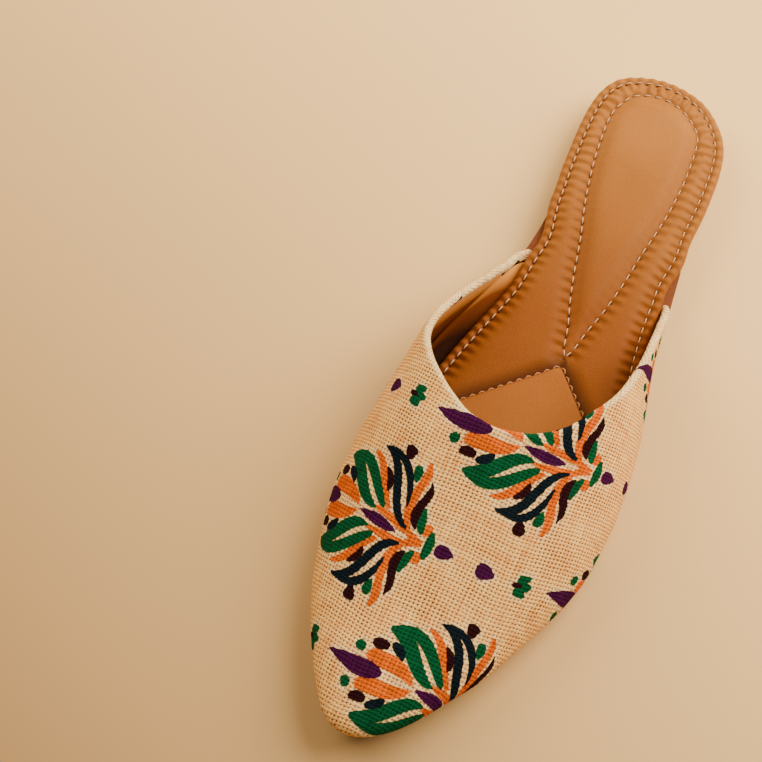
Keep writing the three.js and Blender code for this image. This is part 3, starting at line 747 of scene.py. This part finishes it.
def before_chevron(plan):
    """About how far in front of the chevron seam a plan point lies, straight along the shoe."""
    forward = corner[1] - plan[..., 1]
    return forward - abs(plan[..., 0] - corner[0] - np.tan(CHEVRON_TURN) * forward)


def nearest(points, line, keep=400):
    """Distance to a line and the place along it, for rows of plan points."""
    flat = points.reshape(-1, 2)
    reach = run_along(line)
    found = np.concatenate([
        np.linalg.norm(part[:, None] - line[None], axis=2).argmin(1)
        for part in np.array_split(flat, max(len(flat) // keep, 1))
    ])
    offset, ahead = flat - line[found], unit(np.gradient(line, axis=0))[found]
    past = np.clip((offset * ahead).sum(1), -0.6, 0.6)
    away = np.linalg.norm(offset - past[:, None] * ahead, axis=1)
    return away.reshape(points.shape[:-1]), (reach[found] + past).reshape(points.shape[:-1])


# %% Insole rows, and how far each point lies from the seams
INSOLE, QUILT, ROLL_WIDTH, TROUGH = 4.1, 1.7, 2.6, 3.5
ROWS, MIDDLE = 460, 86  # rows along the insole, and points across between its rims
fine_stations = np.linspace(0, 1, 2000)
fine_edge = inset(fine_stations, MEDIAL, 3.0)
edge_reach = run_along(fine_edge)
row_stations = np.interp(np.linspace(0, edge_reach[-1], ROWS), edge_reach, fine_stations)
rims = np.array([0, 0, 0, 0.05, 0.15, 0.35, 0.65, 1.0, 1.45, 1.95, 2.5, 2.85, 3.2, 3.55, 3.95, 4.4, 5])
sides = {
    side: np.stack([inset(row_stations, side, depth) for depth in rims], 1) for side in (MEDIAL, LATERAL)
}
loop = np.concatenate([sides[MEDIAL], sides[LATERAL][-2::-1]])
loop = eased(loop, 60, smooth(rims, 0.5, 3.0)[:, None])
sides = {MEDIAL: loop[:ROWS], LATERAL: loop[: ROWS - 2 : -1]}
inner_shares = np.linspace(0, 1, MIDDLE + 2)[1:-1, None]
centre_part = sides[MEDIAL][:, -1:] + (sides[LATERAL][:, -1:] - sides[MEDIAL][:, -1:]) * inner_shares
plan = np.concatenate([sides[MEDIAL], centre_part, sides[LATERAL][:, ::-1]], 1)
rim_depth = np.concatenate([rims, np.full(MIDDLE, 9.0), rims[::-1]])
distances = {name: nearest(plan, line) for name, line in seams.items()}
halves = [even_line(drop_left, 0.6), even_line(drop_right, 0.6)]
beside_drop = [nearest(plan, line)[0] for line in halves]
print(plan.shape[0], "rows of", plan.shape[1], "points")


# %% Foam between the seams
STEP, PULL, DIMPLE = 0.5, 0.3, 0.5  # front panel's thickness, dip along a seam, and dip at a needle hole
GATHER = {"border": 0.52, "teardrop": 0.5, "chevron": 0}


def insole_top(plan, distances, beside_drop, depth):
    """The insole's top over the outsole at plan points, in millimetres."""
    at = length_share(plan[..., 1])
    from_middle = abs(plan[..., 0] - teardrop_centre(at) * BALL_WIDTH + INWARD)
    in_drop = (from_middle < teardrop_half(at) * HEEL_WIDTH / 2) & (at > TEARDROP[0][0])
    ahead = before_chevron(plan) / np.sqrt(2)
    over = smooth(ahead, -0.2, 0.6)
    free = 1 - np.exp(-((distances["border"][0] / TROUGH) ** 2))
    for away in (*beside_drop, distances["chevron"][0] + over * 1.5 * TROUGH):
        free = free * (1 - np.exp(-((away / TROUGH) ** 2)))
    height = INSOLE + QUILT * (0.9 + 0.6 * in_drop) * free
    height = height + STEP * over * np.exp(-distances["chevron"][0] / 12)
    for name, (away, along) in distances.items():
        share = np.where(in_drop, 0.1, 1) if name == "teardrop" else 1
        sewn_down = 1 - over if name == "chevron" else 1
        gather = np.cos(2 * pi * along / PITCH[name]) * np.exp(-(((away - 1.6) / 2.2) ** 2))
        off = from_hole(name, along)
        height = height - GATHER[name] * share * gather
        height = height - sewn_down * PULL * np.exp(-((away / 0.7) ** 2))
        height = height - sewn_down * DIMPLE * np.exp(-(away**2 + off**2) / 0.6**2)
    rolled = np.clip(depth / ROLL_WIDTH, 0, 1)
    return height * np.sqrt(1 - 0.75 * (1 - rolled) ** 2.2)


def insole_z(plan, top):
    """Height over the floor of a place on the insole."""
    return sole_top(length_share(plan[..., 1])) + CLEARANCE + top


# %% Insole shell
top = insole_top(plan, distances, beside_drop, rim_depth[None])
for k, share in enumerate((0, 0.15, 0.35)):
    top[:, k] = top[:, -1 - k] = share * INSOLE
surface_points = np.concatenate([plan, insole_z(plan, top)[..., None]], -1)
hole = np.zeros(top.shape)
for name in ("border", "teardrop"):
    away, along = distances[name]
    hole = np.maximum(hole, np.exp(-(away**2 + from_hole(name, along) ** 2) / 0.55**2))
near_seam = np.exp(-(np.minimum.reduce([distances[name][0] for name in seams]) ** 2))
sewn = np.stack([hole, near_seam, before_chevron(plan) / 10], -1)  # the last one in steps of 10 mm
insole = formed_grid(
    "insole_pad",
    np.concatenate([surface_points, surface_points[:, :1]], 1),
    sewn=np.concatenate([sewn, sewn[:, :1]], 1),
)
tidy_shell(insole, corner=60)
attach(insole, "root")
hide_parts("insole")

# %% [markdown]
# ## The tan sheet
#
# The insole is covered with a thin coated sheet, smooth with a fine grain and a little glossy. One even
# colour would look like plastic, so two tans cloud into each other. Light and shade are painted on as well:
# a painted sheen pales the heel's end, painted light pales the front panel, and painted shade darkens the
# sheet at the seams, in the needle holes and under the front panel's edge. The points' kept values say
# where those places are.

# %% Tan sheet finish
material, place, shader = finish("tan sheet")
sewn = place.node("Attribute", {"attribute_name": "sewn"}, {}, out="Vector")
hole, near_seam, in_front = parts(sewn, 3)
grain = place.noise(1600.0, 3.0)
cloud = place.noise(45.0, 3.0)
pores = place.node("TexVoronoi", {}, {"Vector": place, "Scale": 1500.0})
mottle = (cloud * 0.45 + grain * 0.55).ramp(0.35, 0.65)
colour = mottle.mix(paint(122, 64, 14), paint(136, 75, 21))
# Towards the heel the sheet is painted paler: a painted sheen.
heel_painted_sheen = parts(place)[1].ramp(0.03, 0.12)
colour = heel_painted_sheen.mix(colour, mottle.mix(paint(162, 102, 42), paint(176, 116, 54)))
# The front panel is painted paler than the sheet behind it: painted light on the flat panel.
colour = in_front.ramp(0.0, 0.06).mix(colour, mottle.mix(paint(147, 84, 26), paint(159, 94, 34)))
under_edge = in_front.ramp(-0.9, 0.0) ** 1.6 * (1 - in_front.ramp(0.0, 0.04))
colour = under_edge.mix(colour, paint(36, 13, 3))
# The sheet is painted darker along the seams and in the needle holes: painted shade in the seam troughs and
# the holes.
colour = (near_seam * 0.4).mix(colour, paint(112, 56, 18))
colour = hole.ramp(0.25, 0.75).mix(colour, paint(34, 14, 4))
surface(shader, colour, grain.ramp(0.3, 0.7, 0.5, 0.62), grain * 0.6 + pores * 0.4, 0.00008)
shader.inputs["Specular IOR Level"].default_value = 0.1
insole.data.materials.append(material)

# %% [markdown]
# ## Stitches
#
# The border and the teardrop are sewn with a pale thread that shows between two holes and dives at both.
# The front panel's edge is held by thicker brown loops that lean over it. A curve with a thickness would
# do for one stitch, but two hundred are quicker as one mesh: a short arched stitch is modelled once, and
# its copies are laid along the seams, each resting on the foam.

# %% One stitch
bpy.ops.object.select_all(action="DESELECT")
bpy.ops.mesh.primitive_cylinder_add(vertices=8, radius=1, depth=2, rotation=(0, pi / 2, 0))
stitch = bpy.context.object
bpy.ops.object.transform_apply(location=False, rotation=True, scale=False)
bpy.ops.object.mode_set(mode="EDIT")
bpy.ops.mesh.select_all(action="SELECT")
bpy.ops.mesh.bisect(plane_co=(0, 0, 0), plane_no=(1, 0, 0))
for place_x in (-0.6, 0.6):
    bpy.ops.mesh.select_all(action="SELECT")
    bpy.ops.mesh.bisect(plane_co=(place_x, 0, 0), plane_no=(1, 0, 0))
bpy.ops.object.mode_set(mode="OBJECT")
shape = np.array([v.co for v in stitch.data.vertices])
faces = [tuple(f.vertices) for f in stitch.data.polygons]
bpy.data.objects.remove(stitch)
taper = np.interp(abs(shape[:, 0]), [0, 0.6, 1], [1, 0.9, 0.45])
shape[:, 1:] *= taper[:, None]
print("a stitch has", len(faces), "faces")

# %% All the stitches
THREAD, LOOP, LOOP_SIDE = 0.2, 3.3, {"left": -0.8, "right": 0.8}
VAMP_HIDES, SHORTEST = -62, 1  # further forward no stitch shows, and shorter ones are left out
HOLE_GAP, LOOP_GAP = 0.6, 0.25  # from a stitch's end to its needle hole


def off_insole(spot, margin=BORDER_STITCH + 0.6):
    """Whether a spot lies past the insole's outer row of stitches."""
    station = station_of(length_share(spot[1]))
    return not inset(station, MEDIAL, margin)[0] < spot[0] < inset(station, LATERAL, margin)[0]


made_points, made_faces, looped = [], [], []
sewn_lines = {"border": border_seam, "teardrop": teardrop_seam, "left": arms[0], "right": arms[1]}
for name, line in sewn_lines.items():
    pitch, sideways = (PITCH[name], 0) if name in PITCH else (LOOP, LOOP_SIDE[name])
    ends = even_line(line, pitch)
    for a, b in zip(ends[:-1], ends[1:]):
        middle = (a + b) / 2
        hidden = middle[1] < VAMP_HIDES or (name in LOOP_SIDE and off_insole(middle))
        if hidden or np.linalg.norm(b - a) < SHORTEST:
            continue
        ahead = unit(b - a)
        side = np.array([-ahead[1], ahead[0]])
        half = np.linalg.norm(b - a) / 2 - (LOOP_GAP if sideways else HOLE_GAP)
        bowed = sideways * (0.9 - shape[:, :1] ** 2) * side
        spine = middle + shape[:, :1] * half * ahead + bowed
        thick = THREAD * (1.5 if sideways else 1)
        plan_points = spine + shape[:, 1:2] * thick * side
        depth_here = np.full(len(spine), BORDER_STITCH if name == "border" else 9.0)
        near = {key: nearest(spine[:, None], seam) for key, seam in seams.items()}
        near = {key: (away[:, 0], 0 * along[:, 0] + PITCH[key] / 2) for key, (away, along) in near.items()}
        beside = [nearest(spine[:, None], edge)[0][:, 0] for edge in halves]
        ground = insole_z(spine, insole_top(spine, near, beside, depth_here))
        arch = 0.2 - 0.6 * shape[:, 0] ** 6
        height = ground + arch + shape[:, 2] * thick
        start = sum(len(points) for points in made_points)
        made_points.append(np.concatenate([plan_points, height[:, None]], 1))
        made_faces += [tuple(start + v for v in face) for face in faces]
        looped += [float(sideways != 0)] * len(shape)
mesh = bpy.data.meshes.new("insole_stitches")
mesh.from_pydata(np.concatenate(made_points) * MM, [], made_faces)
mesh.attributes.new("looped", "FLOAT", "POINT").data.foreach_set("value", looped)
stitches = bpy.data.objects.new("insole_stitches", mesh)
bpy.context.scene.collection.objects.link(stitches)
tidy_shell(stitches, merge=1e-7, corner=60)
print(len(made_points), "stitches")
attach(stitches, "root")

# %% Thread finish
material, place, shader = finish("waxed thread")
twist = place.noise(2500.0)
looped = place.node("Attribute", {"attribute_name": "looped"}, {}, out="Fac")
colour = twist.ramp(0.3, 0.7).mix(paint(196, 156, 118), paint(226, 194, 156))
surface(shader, looped.mix(colour, paint(172, 116, 72)), twist.ramp(0, 1, 0.5, 0.7))
stitches.data.materials.append(material)

# %% [markdown]
# ## Outsole and heel block
#
# The outsole and the low heel block under it are cut from flat brown rubber. Their plain bodies already
# have the true outline, arch and toe spring, so each is copied as it is and only shaded anew. The fine
# tread on the underside is too low to be worth a mesh of its own, so it is drawn by colour and bump, and
# only on faces that look down.


# %% Sole pieces
def copied_body(node, name):
    """A copy of a plain body, whose faces that look down are marked for the tread."""
    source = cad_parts[node]
    copy = bpy.data.objects.new(name, source.data.copy())
    bpy.context.scene.collection.objects.link(copy)
    copy.data.materials.clear()
    tidy_shell(copy, corner=35)
    under = copy.data.attributes.new("under", "FLOAT", "FACE")
    under.data.foreach_set("value", [float(face.normal.z < -0.8) for face in copy.data.polygons])
    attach(copy, "root")
    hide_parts(node)
    return copy


outsole = copied_body("outsole", "outsole_rubber")
heel = copied_body("heel_block", "heel_rubber")

# %% Rubber finish with a fine tread
RIB, ZIGZAG, SWING = 2.2, 5, 4  # from rib to rib, from bend to bend, and twice a bend's swing, in mm
material, place, shader = finish("brown rubber")
under = place.node("Attribute", {"attribute_name": "under"}, {}, out="Fac")
grain = place.noise(700.0)
x, y = (part * 1000 for part in parts(place))
rib = abs((y + abs(x / ZIGZAG % 1 - 0.5) * SWING) / RIB % 1 - 0.5).ramp(0.08, 0.2)
rubbed = place.noise(40.0, 3.0)
colour = grain.ramp(0.3, 0.7).mix(paint(112, 54, 14), paint(126, 64, 19))
colour = (under * rubbed.ramp(0.45, 0.62) * 0.5).mix(colour, paint(150, 108, 68))
# The narrow grooves between the tread's ribs are painted darker: painted shade in the grooves.
colour = (under * (1 - rib) * 0.6).mix(colour, paint(70, 36, 14))
surface(shader, colour, grain.ramp(0.2, 0.8, 0.5, 0.66), rib * under + grain * 0.15, 0.0003)
shader.inputs["Specular IOR Level"].default_value = 0.25
outsole.data.materials.append(material)
heel.data.materials.append(material)
